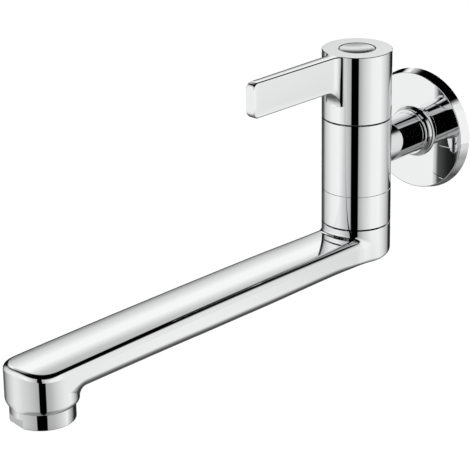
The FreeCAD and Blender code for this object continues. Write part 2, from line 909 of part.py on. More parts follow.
def spout():
    bar = spout_bar(0)
    bar = bar.makeFillet(spout_low_edge_round, long_edges(bar, True))
    bar = bar.makeFillet(spout_top_edge_round, long_edges(bar, False))
    hub = rod(barrel_radius, spout_top - 2 * spout_top_edge_round, spout_hub_top)
    hub = bevelled(hub, seam_bevel, barrel_radius, spout_hub_top)
    solid = bar.fuse([hub, outlet_block()]).removeSplitter()
    boss = rod(tail_radius + tail_boss_wall, tail_foot, spout_hub_top)
    channel = spout_bar(spout_wall).cut(boss)
    drop_top = spout_top - spout_wall - over
    drop = rod(aerator_thread_radius - aerator_washer_width, block_low, drop_top, outlet_y)
    female = turned_upright(
        thread_profile(
            aerator_thread_radius + thread_gap,
            aerator_thread_depth,
            aerator_thread_pitch,
            block_low,
            block_low + aerator_thread_length,
        ),
        outlet_y,
    )
    washer_room = rod(aerator_thread_radius, block_low + aerator_thread_length, washer_high, outlet_y)
    tail_hole = turned_upright(
        thread_profile(
            tail_radius + thread_gap, tail_thread_depth, tail_thread_pitch, tail_foot, shoulder_low
        )
    )
    tail_mouth = rod(tail_bore_radius, tail_foot - over, tail_foot + over)
    shoulder_room = rod(tail_shoulder_radius + fit_gap, shoulder_low, spout_hub_top + over)
    return solid.cut([channel, drop, female, washer_room, tail_hole, tail_mouth, shoulder_room])


def aerator_housing():
    skirt = rod(aerator_skirt_radius, aerator_low, block_low, outlet_y)
    reach = 2 * aerator_skirt_radius
    half_flats = aerator_across_flats / 2
    flat_high = aerator_low + aerator_flat_height
    for side in (-1, 1):
        low_y, high_y = sorted((side * half_flats, side * reach))
        flat = box(-reach, reach, low_y, high_y, aerator_low - over, flat_high)
        flat.rotate(vector(0, 0, 0), upward, -aerator_flat_turn)
        flat.translate(vector(0, outlet_y, 0))
        skirt = skirt.cut(flat)
    stub = turned_upright(
        thread_profile(
            aerator_thread_radius,
            aerator_thread_depth,
            aerator_thread_pitch,
            block_low,
            block_low + aerator_thread_length,
        ),
        outlet_y,
    )
    bore = rod(core_radius(), aerator_low + aerator_lip, washer_high, outlet_y)
    mouth = rod(core_radius() - aerator_lip, aerator_low - over, aerator_low + 2 * over, outlet_y)
    return skirt.fuse(stub).cut([bore, mouth])


def core_radius():
    return aerator_thread_radius - aerator_thread_depth - aerator_wall


def screen_levels():
    lowest = aerator_low + aerator_lip
    return [lowest + index * (screen_thickness + screen_gap) for index in range(screen_count)]


def aerator_screens():
    radius = core_radius() - fit_gap
    half = screen_opening / 2
    count = int(radius / screen_pitch)
    screens = []
    for level in screen_levels():
        openings = []
        for row in range(-count, count + 1):
            for column in range(-count, count + 1):
                x = row * screen_pitch
                y = column * screen_pitch
                if math.hypot(x, y) + screen_opening > radius:
                    continue
                openings.append(
                    box(
                        x - half,
                        x + half,
                        outlet_y + y - half,
                        outlet_y + y + half,
                        level - over,
                        level + screen_thickness + over,
                    )
                )
        screens.append(rod(radius, level, level + screen_thickness, outlet_y).cut(openings))
    return Part.makeCompound(screens)


def aerator_core():
    radius = core_radius() - fit_gap
    low = screen_levels()[-1] + screen_thickness + fit_gap
    high = block_low + aerator_thread_length
    plate_low = high - aerator_core_height
    plate_high = plate_low + aerator_core_plate
    solid = ring(radius, radius - aerator_core_rim, low, high, outlet_y)
    solid = solid.fuse(rod(radius, plate_low, plate_high, outlet_y))
    holes = []
    for index in range(aerator_core_holes):
        angle = 2 * math.pi * index / aerator_core_holes
        reach = radius - aerator_core_rim - 2 * aerator_core_hole_radius
        centre = vector(reach * math.cos(angle), outlet_y + reach * math.sin(angle), plate_low - over)
        holes.append(Part.makeCylinder(aerator_core_hole_radius, aerator_core_plate + 2 * over, centre))
    return solid.cut(holes)


def aerator_washer():
    outer = aerator_thread_radius - fit_gap
    low = block_low + aerator_thread_length
    return ring(outer, outer - aerator_washer_width, low, washer_high, outlet_y)


pieces = {
    "valve_body": valve_body,
    "wall_flange": wall_flange,
    "flange_seal_ring": flange_seal_ring,
    "headwork_housing": headwork_housing,
    "headwork_gasket": headwork_gasket,
    "seat_seal": seat_seal,
    "fixed_disc": fixed_disc,
    "moving_disc": moving_disc,
    "spindle": spindle,
    "spindle_rings": spindle_rings,
    "spindle_slip_washer": spindle_slip_washer,
    "spindle_clip": spindle_clip,
    "handle": handle,
    "handle_screw": handle_screw,
    "handle_cap": handle_cap,
    "handle_guide_ring": handle_guide_ring,
    "swivel_nut": swivel_nut,
    "upper_slip_washer": upper_slip_washer,
    "lower_slip_bush": lower_slip_bush,
    "split_ring": split_ring,
    "spout_tail": spout_tail,
    "tail_rings": tail_rings,
    "spout": spout,
    "aerator_housing": aerator_housing,
    "aerator_washer": aerator_washer,
    "aerator_core": aerator_core,
    "aerator_screens": aerator_screens,
}

os.makedirs("parts", exist_ok=True)
for name, make in pieces.items():
    shape = make()
    shape.exportStep("parts/" + name + ".step")
    print(name, len(shape.Solids), "valid", shape.isValid(), "volume", round(shape.Volume, 1))
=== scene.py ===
import json
import math
import bmesh
import bpy
import numpy as np
from mathutils import Matrix, Vector


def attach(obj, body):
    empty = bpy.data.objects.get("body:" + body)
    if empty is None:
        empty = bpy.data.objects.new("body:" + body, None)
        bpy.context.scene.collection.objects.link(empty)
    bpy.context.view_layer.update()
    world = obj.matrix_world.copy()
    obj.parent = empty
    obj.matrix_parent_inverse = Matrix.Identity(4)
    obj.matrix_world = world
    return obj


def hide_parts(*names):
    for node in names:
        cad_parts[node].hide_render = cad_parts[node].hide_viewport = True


# Wall-mounted kitchen tap. The row's frame: +Y into the wall, +Z up, +X to the right of someone who
# faces the tap. Sizes in the dictionaries are in millimetres and degrees.
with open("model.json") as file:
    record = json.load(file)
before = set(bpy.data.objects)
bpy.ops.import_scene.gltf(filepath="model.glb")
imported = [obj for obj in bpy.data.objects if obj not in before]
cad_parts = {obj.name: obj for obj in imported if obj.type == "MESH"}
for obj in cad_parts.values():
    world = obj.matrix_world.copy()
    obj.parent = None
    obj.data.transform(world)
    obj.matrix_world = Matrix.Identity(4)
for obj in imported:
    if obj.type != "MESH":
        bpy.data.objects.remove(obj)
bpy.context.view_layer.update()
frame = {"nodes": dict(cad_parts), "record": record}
print("frame loaded:", len(frame["nodes"]), "nodes")

mm = 0.001
tapY = -51.55       # the handle's and the spout's axis
barrelRadius = 17.25
seamBevel = 0.25
supportGap = 0.04   # an extra row so close to an edge keeps the shading of the flat beside it

camera = {
    "yaw": 41.58,
    "pitch": 22.09,
    "roll": -0.62,
    "distance": 1121.8,
    "lookAt": (-36.02, -86.97, -54.73),
    "focal": 2223.68,           # in pixels of a frame 470 wide
    "frameWidth": 470.0,
    "principal": (255.35, 257.78),
    "sensor": 36.0,
}


def cameraAxes(settings):
    # The directions to the camera, to the picture's right and up it.
    yaw = math.radians(settings["yaw"])
    pitch = math.radians(settings["pitch"])
    roll = math.radians(settings["roll"])
    back = Vector((math.sin(yaw) * math.cos(pitch), -math.cos(yaw) * math.cos(pitch), math.sin(pitch)))
    right = Vector((math.cos(yaw), math.sin(yaw), 0.0))
    up = back.cross(right)
    turnedRight = right * math.cos(roll) + up * math.sin(roll)
    turnedUp = up * math.cos(roll) - right * math.sin(roll)
    return back, turnedRight, turnedUp


def makeCamera(settings):
    back, right, up = cameraAxes(settings)
    data = bpy.data.cameras.new("camera")
    width = settings["frameWidth"]
    data.sensor_width = settings["sensor"]
    data.lens = settings["focal"] / width * settings["sensor"]
    middle = (width - 1) / 2
    data.shift_x = (middle - settings["principal"][0]) / width
    data.shift_y = (settings["principal"][1] - middle) / width
    data.clip_start = 0.01
    data.clip_end = 100.0
    item = bpy.data.objects.new("camera", data)
    place = (Vector(settings["lookAt"]) + back * settings["distance"]) * mm
    turn = Matrix((right, up, back)).transposed().to_4x4()
    item.matrix_world = Matrix.Translation(place) @ turn
    bpy.context.scene.collection.objects.link(item)
    bpy.context.scene.camera = item


makeCamera(camera)
print("camera made")


# Mesh helpers

def gridFaces(rows, columns, closed, first):
    # Quads between the neighbouring points of a grid; closed joins its last column to its first.
    row, column = np.meshgrid(np.arange(rows - 1), np.arange(columns - (not closed)), indexing="ij")
    after = (column + 1) % columns
    low = row * columns
    quads = np.stack([low + column, low + after, low + columns + after, low + columns + column], -1)
    return quads.reshape(-1, 4) + first


def makePiece(name, grids, body, nodes, sharpAngle=25.0):
    # Joins grids of points (rows, columns, xyz in mm) into one piece with closed shells.
    faces = []
    first = 0
    for points, closed in grids:
        faces.append(gridFaces(points.shape[0], points.shape[1], closed, first))
        first += points.shape[0] * points.shape[1]
    places = np.concatenate([points.reshape(-1, 3) for points, closed in grids]) * mm
    quads = np.concatenate(faces)
    mesh = bpy.data.meshes.new(name)
    mesh.vertices.add(len(places))
    mesh.vertices.foreach_set("co", places.astype(np.float32).ravel())
    mesh.loops.add(quads.size)
    mesh.loops.foreach_set("vertex_index", quads.ravel().astype(np.int32))
    mesh.polygons.add(len(quads))
    mesh.polygons.foreach_set("loop_start", np.arange(0, quads.size, 4, dtype=np.int32))
    mesh.update(calc_edges=True)
    shape = bmesh.new()
    shape.from_mesh(mesh)
    bmesh.ops.remove_doubles(shape, verts=shape.verts, dist=0.5e-6)
    bmesh.ops.dissolve_degenerate(shape, edges=shape.edges, dist=0.2e-6)
    bmesh.ops.recalc_face_normals(shape, faces=shape.faces)
    shape.to_mesh(mesh)
    shape.free()
    mesh.shade_smooth()
    mesh.set_sharp_from_angle(angle=math.radians(sharpAngle))
    item = bpy.data.objects.new(name, mesh)
    bpy.context.scene.collection.objects.link(item)
    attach(item, body)
    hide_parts(*nodes)
    print(name, len(mesh.polygons), "faces")
    return item


def smoothCurve(pairs):
    # A natural cubic spline through (place, value) pairs, as a function of the place.
    place, value = np.array(pairs, float).T
    step = np.diff(place)
    count = len(place)
    matrix = np.eye(count)
    right = np.zeros(count)
    inner = np.arange(1, count - 1)
    matrix[inner, inner - 1] = step[:-1]
    matrix[inner, inner] = 2 * (step[:-1] + step[1:])
    matrix[inner, inner + 1] = step[1:]
    right[inner] = 6 * np.diff(np.diff(value) / step)
    bend = np.linalg.solve(matrix, right)

    def at(x):
        x = np.asarray(x, float)
        i = np.clip(np.searchsorted(place, x) - 1, 0, count - 2)
        near, far, h = x - place[i], place[i + 1] - x, step[i]
        cubic = (bend[i] * far ** 3 + bend[i + 1] * near ** 3) / (6 * h)
        before = (value[i] / h - bend[i] * h / 6) * far
        after = (value[i + 1] / h - bend[i + 1] * h / 6) * near
        return cubic + before + after

    return at


def smoothStep(x, low, high):
    t = np.clip((np.asarray(x, float) - low) / (high - low), 0, 1)
    return t * t * (3 - 2 * t)


def quarterTurns(count):
    # Angles from 0 to 90 degrees
    return np.linspace(0, math.pi / 2, count)


def flatRow(across, height):
    # Rows of (x, y, height): the points of a plan, all at one height or each at its own
    return np.column_stack([across, np.broadcast_to(height, len(across))])


def roundedPath(corners, steps=10):
    # A flat path through (a, b, radius) corners, each turned into an arc that touches both its sides.
    points = [np.array(corners[0][:2], float)]
    for before, corner, after in zip(corners[:-2], corners[1:-1], corners[2:]):
        here = np.array(corner[:2], float)
        inward = np.array(before[:2], float) - here
        outward = np.array(after[:2], float) - here
        inward /= np.linalg.norm(inward)
        outward /= np.linalg.norm(outward)
        if corner[2] <= 0:
            points += [here + inward * supportGap, here, here + outward * supportGap]
            continue
        half = math.acos(np.clip(inward @ outward, -1, 1)) / 2
        reach = corner[2] / math.tan(half)
        centre = here + (inward + outward) / np.linalg.norm(inward + outward) * corner[2] / math.sin(half)
        start, end = here + inward * reach - centre, here + outward * reach - centre
        angle = math.pi - 2 * half
        points.append(here + inward * (reach + supportGap))
        for t in np.linspace(0, 1, steps + 1):
            blend = (start * math.sin((1 - t) * angle) + end * math.sin(t * angle)) / math.sin(angle)
            points.append(centre + blend)
        points.append(here + outward * (reach + supportGap))
    points.append(np.array(corners[-1][:2], float))
    return np.array(points)


def upright(path, count=288, centre=(0.0, tapY)):
    # A (radius, height) path turned about an upright axis.
    angle = np.linspace(0, 2 * np.pi, count, endpoint=False)
    radius, height = path[:, :1], path[:, 1:]
    across = centre[0] + radius * np.cos(angle)
    along = centre[1] + radius * np.sin(angle)
    return np.stack([across, along, np.broadcast_to(height, across.shape)], -1), True


def level(path, count=288):
    # A (radius, y) path turned about the inlet's axis.
    angle = np.linspace(0, 2 * np.pi, count, endpoint=False)
    radius, along = path[:, :1], path[:, 1:]
    across = radius * np.cos(angle)
    return np.stack([across, np.broadcast_to(along, across.shape), radius * np.sin(angle)], -1), True


# Spout: a hub, a flat-topped bar and an outlet block

spout = {
    "hubTop": -35.0,
    # The hub's inside: pairs of (radius, depth under its top)
    "hubInside": ((0, 10.6), (7, 10.6), (7, 8.4), (10.1, 8.4), (10.1, 2), (12.55, 2), (12.55, 0)),
    "hubFillet": 1.6,
    "flareStart": 68.0,      # degrees round the hub, from straight out, where the bar's side leaves it
    "flareEnd": 20.0,
    # Pairs of (distance out, size)
    "halfWidths": (
        (0, 14.3), (24, 14.5), (50, 14.8), (100, 15.0),
        (150, 15.3), (192, 15.55), (217.8, 15.6), (232, 15.6),
    ),
    "topEdges": (
        (-17, -40.3), (0, -40.1), (24, -39.75), (50, -39.15), (87, -38.5),
        (115, -38.1), (145, -37.75), (185, -37.5), (232, -37.4),
    ),
    "crownRise": 0.8,
    "undersides": (
        (-17.3, -50.6), (-2, -51.9), (8, -52.9), (18, -53.5), (37, -53.4), (64, -53.0), (81, -52.8),
        (100, -52.4), (122, -51.95), (145, -51.3), (160, -50.95), (190, -50.4), (232, -49.8),
    ),
    "topRounds": ((-20, 4.2), (25, 4.1), (60, 3.5), (100, 3.1), (150, 3.0), (232, 2.7)),
    "lowRound": 5.5,
    "lowRoundFrom": 34.0,
    "hubLowRound": 1.8,
    "straightFrom": 30.0,    # the outline's points stand closer before this and after the next
    "tipFrom": 196.0,
    "fanFrom": 12.0,         # the lines across the top fan out from the axis between this and the next
    "fanTo": 60.0,
    "reach": 217.8,
    "blockHalfWidth": 15.6,
    "blockHalfDepth": 14.6,
    "blockPower": 2.7,       # of the superellipse that the block is seen from above
    "blockFillet": 3.2,
    "blockLow": -56.0,
    # The block's closed top is hidden in the bar: how far in, and how high over the joint
    "hiddenInset": 0.4,
    "hiddenTop": 1.5,
    "hiddenFoot": 0.4,
    "footHeight": 2.8,
    "footRadius": 14.7,
    "footShare": 0.94,       # how far the foot comes in from the outline to that radius
    # The mouth: pairs of (radius, height above the block's foot)
    "mouth": ((12.1, 0), (12.1, 7.0), (9.4, 7.0), (9.4, 10.0), (0, 10.0)),
}


def blockOutline(s, turn):
    # |x / a|^n + |out / b|^n = 1 about the outlet: x = a cos^(2/n), out = b sin^(2/n), with normals.
    power = s["blockPower"]
    a, b = s["blockHalfWidth"], s["blockHalfDepth"]
    cosine, sine = np.cos(turn), np.sin(turn)
    x = a * np.sign(cosine) * np.abs(cosine) ** (2 / power)
    out = b * np.sign(sine) * np.abs(sine) ** (2 / power)
    normalX = np.sign(x) * np.abs(x / a) ** (power - 1) / a
    normalOut = np.sign(out) * np.abs(out / b) ** (power - 1) / b
    size = np.hypot(normalX, normalOut)
    return np.stack([x, out, normalX / size, normalOut / size], -1)


def spoutOutline(s):
    # The right half of the bar seen from above, from the hub's back to the tip's middle: rows of
    # (x, distance out, normal x, normal out). Arc of the hub, flare, side, superellipse of the tip.
    start = math.radians(s["flareStart"])
    width = smoothCurve(s["halfWidths"])
    around = np.linspace(math.pi, start, 72)
    sine, cosine = np.sin(around), np.cos(around)
    hub = np.stack([barrelRadius * sine, barrelRadius * cosine, sine, cosine], -1)
    flareLow = barrelRadius * math.cos(start)
    out = np.concatenate([
        np.linspace(flareLow, s["straightFrom"], 50)[1:],
        np.linspace(s["straightFrom"], s["tipFrom"], 56)[1:],
        np.linspace(s["tipFrom"], s["reach"], 44)[1:-1],
    ])

    def side(place):
        # Cubic from the hub's tangent to the bar's own width, which holds after it.
        t = np.clip((place - flareLow) / (s["flareEnd"] - flareLow), 0, 1)
        span = s["flareEnd"] - flareLow
        a, b = barrelRadius * math.sin(start), width(s["flareEnd"])
        slopeA = -span / math.tan(start)
        slopeB = span * (width(s["flareEnd"] + 0.5) - width(s["flareEnd"] - 0.5))
        cubic = (2 * t ** 3 - 3 * t ** 2 + 1) * a + (t ** 3 - 2 * t ** 2 + t) * slopeA
        cubic = cubic + (3 * t ** 2 - 2 * t ** 3) * b + (t ** 3 - t ** 2) * slopeB
        return np.where(place < s["flareEnd"], cubic, width(place))

    slope = (side(out + 0.01) - side(out - 0.01)) / 0.02
    size = np.hypot(1, slope)
    bar = np.stack([side(out), out, 1 / size, -slope / size], -1)
    tip = blockOutline(s, quarterTurns(64))
    tip[:, 1] += s["reach"]
    return np.concatenate([hub, bar, tip])


def barLines(s, edge, normal):
    # From each outline point a line runs to a point on the bar's middle line. Returns its direction and
    # length, how squarely it leaves the outline, that point's distance out, and the number of the line
    # that ends on the hub's circle.
    out = edge[:, 1]
    spread = s["fanTo"] / (s["fanTo"] - s["fanFrom"])
    middle = np.where(out > s["fanTo"], out, np.clip((out - s["fanFrom"]) * spread, 0, None))
    nearest = np.argmin(np.abs(middle - barrelRadius))
    middle[nearest] = barrelRadius
    middle = np.minimum(middle, s["reach"] - 1.0)
    line = np.stack([np.zeros_like(middle), middle], -1) - edge
    length = np.linalg.norm(line, axis=1)
    line /= length[:, None]
    return line, length, -(line * normal).sum(1), middle, nearest


def topRows(s, edge, line, length, slant, middle):
    # Along each line the height is the crowned top, less the edge's quarter circle, plus the hollow
    # quarter circle round the hub:
    # z = top(x, out) - r + sqrt(r^2 - (r - inset)^2) + f - sqrt(f^2 - (f - gap)^2).
    topEdge = smoothCurve(s["topEdges"])
    r, f = smoothCurve(s["topRounds"])(edge[:, 1]), s["hubFillet"]

    # Where the line meets the hub's circle, if its end lies inside it
    halfway = (edge * line).sum(1)
    rest = (edge ** 2).sum(1) - barrelRadius ** 2
    toCircle = -halfway - np.sqrt(np.maximum(halfway ** 2 - rest, 0))
    reach = np.clip(np.where(middle <= barrelRadius, toCircle, length), 0, None)
    roundReach = np.minimum(r / slant, reach * r / (r + f))
    filletShare = np.clip(1 - (middle - barrelRadius) / f, 0, 1)
    filletReach = np.minimum(f, reach * f / (r + f)) * filletShare

    def surface(distance):
        place = edge + line * distance[:, None]
        inset = np.clip(distance * slant, 0, r)
        gap = np.clip(np.linalg.norm(place, axis=1) - barrelRadius, 0, f)
        top = topEdge(place[:, 1]) + s["crownRise"] * (1 - (place[:, 0] / s["blockHalfWidth"]) ** 2)
        down = r - np.sqrt(r * r - (r - inset) ** 2)
        rise = f - np.sqrt(f * f - (f - gap) ** 2)
        return flatRow(place, top - down + rise)

    rows = []
    for t in quarterTurns(9):
        rows.append(surface(reach - filletReach * (1 - math.cos(t))))
    for t in (0.01, 0.03, 0.08, 0.16, 0.27, 0.4, 0.53, 0.66, 0.78, 0.88, 0.95, 0.98, 0.995):
        rows.append(surface((reach - filletReach) * (1 - t) + roundReach * t))
    for t in quarterTurns(20)[::-1]:
        rows.append(surface(roundReach * (1 - math.cos(t))))
    return rows


def lowRows(s, edge, line, length, slant, sideTop):
    # The side, the low edge's quarter circle and the underside, to the middle line again. The underside
    # runs down into the block along a hollow quarter circle: drop = g - sqrt(g^2 - (g - gap)^2).
    underside = smoothCurve(s["undersides"])
    change = smoothStep(-edge[:, 1], -s["lowRoundFrom"], 0)
    lowRound = s["lowRound"] - (s["lowRound"] - s["hubLowRound"]) * change
    power, g = s["blockPower"], s["blockFillet"]

    def below(distance):
        place = edge + line * distance[:, None]
        inset = np.clip(distance * slant, 0, lowRound)
        up = lowRound - np.sqrt(np.maximum(lowRound ** 2 - (lowRound - inset) ** 2, 0))
        fromOutlet = place - np.array([0, s["reach"]])
        shares = np.abs(fromOutlet) / np.array([s["blockHalfWidth"], s["blockHalfDepth"]])
        size = np.maximum((shares ** power).sum(1) ** (1 / power), 1.0)
        gap = np.clip(np.linalg.norm(fromOutlet, axis=1) * (1 - 1 / size), 0, g)
        drop = g - np.sqrt(g * g - (g - gap) ** 2)
        return flatRow(place, underside(place[:, 1]) + up - drop)

    rows = []
    sideLow = below(np.zeros(len(edge)))[:, 2]
    for t in (0.005, 0.02, 0.1, 0.25, 0.5, 0.75, 0.9, 0.98, 0.995):
        rows.append(flatRow(edge, sideTop * (1 - t) + sideLow * t))
    lowReach = lowRound / slant
    for t in quarterTurns(12):
        rows.append(below(lowReach * (1 - math.cos(t))))
    for t in (0.01, 0.05, 0.2, 0.4, 0.6, 0.8, 1.0):
        rows.append(below(lowReach + (length - lowReach) * t))
    return rows


def hubRows(s, foot):
    # The hub's inside, its top, and its wall down to the foot on the bar
    radial = foot[:, :2] / barrelRadius
    top = s["hubTop"]
    inside = [(radius, top - depth) for radius, depth in s["hubInside"]]
    edge = barrelRadius - seamBevel
    rows = []
    for radius, height in inside + [(edge - supportGap, top), (edge, top)]:
        rows.append(flatRow(radial * radius, height))
    wallTop = top - seamBevel
    for t in (0.0, 0.01, 0.1, 0.5, 0.9, 0.99, 1.0):
        rows.append(flatRow(radial * barrelRadius, wallTop * (1 - t) + foot[:, 2] * t))
    return rows


def spoutGrids(s):
    outline = spoutOutline(s)
    edge, normal = outline[:, :2], outline[:, 2:]
    line, length, slant, middle, nearest = barLines(s, edge, normal)
    rows = topRows(s, edge, line, length, slant, middle)
    rows += lowRows(s, edge, line, length, slant, rows[-1][:, 2])
    bar = np.array(rows)
    hub = np.array(hubRows(s, bar[0, :nearest + 1]))

    def mirrored(right):
        # The left half is the right one's mirror image, in the opposite order.
        left = right[:, -1:0:-1] * np.array([-1, 1, 1])
        whole = np.concatenate([right, left], 1)
        whole[..., 1] = tapY - whole[..., 1]
        return whole

    return [(mirrored(bar), True), (mirrored(hub), True)]


def blockGrid(s):
    # The tip's outline all round. Its sides run flush with the bar's down to the foot, where they
    # turn in along a quarter ellipse onto the aerator's circle.
    underside = smoothCurve(s["undersides"])
    outline = blockOutline(s, np.linspace(0, 2 * math.pi, 192, endpoint=False))
    place, normal = outline[:, :2], outline[:, 2:]
    bearing = place / np.linalg.norm(place, axis=1)[:, None]
    joint = underside(s["reach"] + place[:, 1]) + s["lowRound"] - s["blockFillet"]
    footTop = s["blockLow"] + s["footHeight"]
    hidden = place - normal * s["hiddenInset"]
    top = joint + s["hiddenTop"]
    rows = [flatRow(place * 0, top), flatRow(hidden, top), flatRow(hidden, joint + s["hiddenFoot"])]
    for t in (0, 0.01, 0.5, 0.99):
        rows.append(flatRow(place, joint * (1 - t) + footTop * t))
    for t in quarterTurns(16):
        share = (1 - math.cos(t)) * s["footShare"]
        across = place * (1 - share) + bearing * s["footRadius"] * share
        rows.append(flatRow(across, footTop - s["footHeight"] * math.sin(t)))
    for radius, height in s["mouth"]:
        rows.append(flatRow(bearing * radius, s["blockLow"] + height))
    grid = np.array(rows)
    grid[..., 1] = tapY - s["reach"] - grid[..., 1]
    return grid, True


allSpoutGrids = spoutGrids(spout) + [blockGrid(spout)]
spoutPiece = makePiece("spout_shell", allSpoutGrids, "spout", ["spout"])


# Aerator: a ring with two spanner flats

aerator = {
    "top": -56.0,
    "low": -63.6,
    "radius": 14.7,
    "acrossFlats": 27.3,
    "flatHeight": 4.2,
    "flatGap": 0.05,         # rows so close to the flat's upper edge, to each side of it
    "flatTurn": 10.5,
    "edgeRound": 0.45,
    "topBevel": 0.16,
    "belowBevel": 0.3,
    "mouthRadius": 8.6,
    "mouthChamfer": 0.3,
    "lipHeight": 1.2,
    "bore": 9.8,
    "stubRadius": 12.0,
    "stubHeight": 5.4,
    "outletOut": 217.8,
}


def aeratorGrid(a):
    # Radius at a bearing and height: the ring's own, or the distance to the nearer flat if that is less.
    angle = np.linspace(0, 2 * np.pi, 480, endpoint=False)
    normal = math.radians(-90 - a["flatTurn"])
    facing = np.abs(np.cos(angle - normal))
    whole = np.full_like(angle, a["radius"])
    cut = np.minimum(whole, a["acrossFlats"] / 2 / np.maximum(facing, 1e-3))
    top, low, edge, bevel = a["top"], a["low"], a["edgeRound"], a["topBevel"]
    flatHigh = low + a["flatHeight"]
    stubTop = top + a["stubHeight"]
    lipTop = low + a["lipHeight"]
    mouth, chamfer = a["mouthRadius"], a["mouthChamfer"]
    rows = [
        (a["stubRadius"], stubTop),
        (a["stubRadius"], top),
        (whole - bevel - supportGap, top),
        (whole - bevel, top),
        (whole, top - bevel),
        (whole, top - a["belowBevel"]),
        (whole, flatHigh + a["flatGap"]),
        (whole, flatHigh),
        (cut, flatHigh),
        (cut, flatHigh - a["flatGap"]),
    ]
    rows += [(cut - edge * (1 - math.cos(t)), low + edge * (1 - math.sin(t))) for t in quarterTurns(8)]
    rows += [
        (mouth + chamfer, low),
        (mouth, low + chamfer),
        (mouth, lipTop),
        (a["bore"], lipTop),
        (a["bore"], stubTop),
        (a["stubRadius"], stubTop),
    ]
    centreY = tapY - a["outletOut"]
    across = [np.stack([r * np.cos(angle), centreY + r * np.sin(angle)], -1) for r, height in rows]
    grid = [flatRow(place, height) for place, (r, height) in zip(across, rows)]
    return np.array(grid), True


aeratorGrids = [aeratorGrid(aerator)]
aeratorPiece = makePiece("aerator_ring", aeratorGrids, "spout", ["aerator_housing"])


# Swivel nut, barrel with the inlet arm, and the wall flange

nut = {"top": -17.15, "foot": -34.6, "bore": 15.1, "lipBore": 11.1, "lipTop": -30.6, "chamfer": 1.0}


def nutGrid(n):
    corners = [
        (n["bore"], n["top"], 0),
        (barrelRadius - seamBevel, n["top"], 0),
        (barrelRadius, n["top"] - seamBevel, 0),
        (barrelRadius, n["foot"] + seamBevel, 0),
        (barrelRadius - seamBevel, n["foot"], 0),
        (n["lipBore"], n["foot"], 0),
        (n["lipBore"], n["lipTop"], 0),
        (n["bore"] - n["chamfer"], n["lipTop"], 0),
        (n["bore"], n["lipTop"] + n["chamfer"], 0),
        (n["bore"], n["top"], 0),
    ]
    return upright(roundedPath(corners))


nutPiece = makePiece("swivel_nut_ring", [nutGrid(nut)], "tap_body", ["swivel_nut"])

body = {
    "top": 19.6,
    "foot": -17.15,
    "recessRadius": 14.6,
    "recessFloor": 15.6,
    "headworkRadius": 10.6,
    "chamberRadius": 12.6,
    "chamberTop": 6.0,
    "seat": -9.5,
    "seatHole": 5.5,
    "throatRadius": 9.0,
    "throatTop": -12.1,
    "socketRadius": 10.05,
    "socketTop": -14.2,
    "spigotRadius": 14.4,
    "spigotFoot": -27.15,
    "armRadius": 10.65,
    "armBore": 7.0,
    "rootFillet": 1.5,
    "rootDepth": 2.0,
    "armEnd": -0.6,
    "nippleEnd": 15.8,
    "nippleChamfer": 0.5,
    "threadRadius": 10.4775,
    "threadDepth": 1.16,
    "threadPitch": 1.814,
    "threadFlank": 4.8,
    "threadGroove": 0.7,
    "threadFrom": 0.6,       # past the arm's end, then growing to its full height over the next length
    "threadRise": 1.5,
    "threadRunOut": 1.2,
    "rowsPerPitch": 12,
}


def barrelGrid(b):
    corners = [
        (b["recessRadius"], b["recessFloor"], 0),
        (b["recessRadius"], b["top"], 0),
        (barrelRadius - seamBevel, b["top"], 0),
        (barrelRadius, b["top"] - seamBevel, 0),
        (barrelRadius, b["foot"] + seamBevel, 0),
        (barrelRadius - seamBevel, b["foot"], 0),
        (b["spigotRadius"], b["foot"], 0),
        (b["spigotRadius"], b["spigotFoot"], 0),
        (b["socketRadius"], b["spigotFoot"], 0),
        (b["socketRadius"], b["socketTop"], 0),
        (b["throatRadius"], b["socketTop"], 0),
        (b["throatRadius"], b["throatTop"], 0),
        (b["seatHole"], b["throatTop"], 0),
        (b["seatHole"], b["seat"], 0),
        (b["chamberRadius"], b["seat"], 0),
        (b["chamberRadius"], b["chamberTop"], 0),
        (b["headworkRadius"], b["chamberTop"], 0),
        (b["headworkRadius"], b["recessFloor"], 0),
        (b["recessRadius"], b["recessFloor"], 0),
    ]
    return upright(roundedPath(corners))


def threadRadius(b, y, angle):
    # A ridge of a trapezoid's section that runs round as a helix, so its phase depends on the turn as
    # well as on the place along the tube: phase = y / pitch - turn, and the ridge's share of the depth
    # is flank * |phase - 1/2| - groove, within 0 and 1.
    phase = (y / b["threadPitch"] - angle / (2 * np.pi)) % 1.0
    ridge = np.clip(b["threadFlank"] * np.abs(phase - 0.5) - b["threadGroove"], 0, 1)
    fromStart = np.clip((y - b["armEnd"] - b["threadFrom"]) / b["threadRise"], 0, 1)
    fromEnd = np.clip((b["nippleEnd"] - y) / b["threadRunOut"], 0, 1)
    return b["threadRadius"] - b["threadDepth"] * (1 - ridge * fromStart * fromEnd)


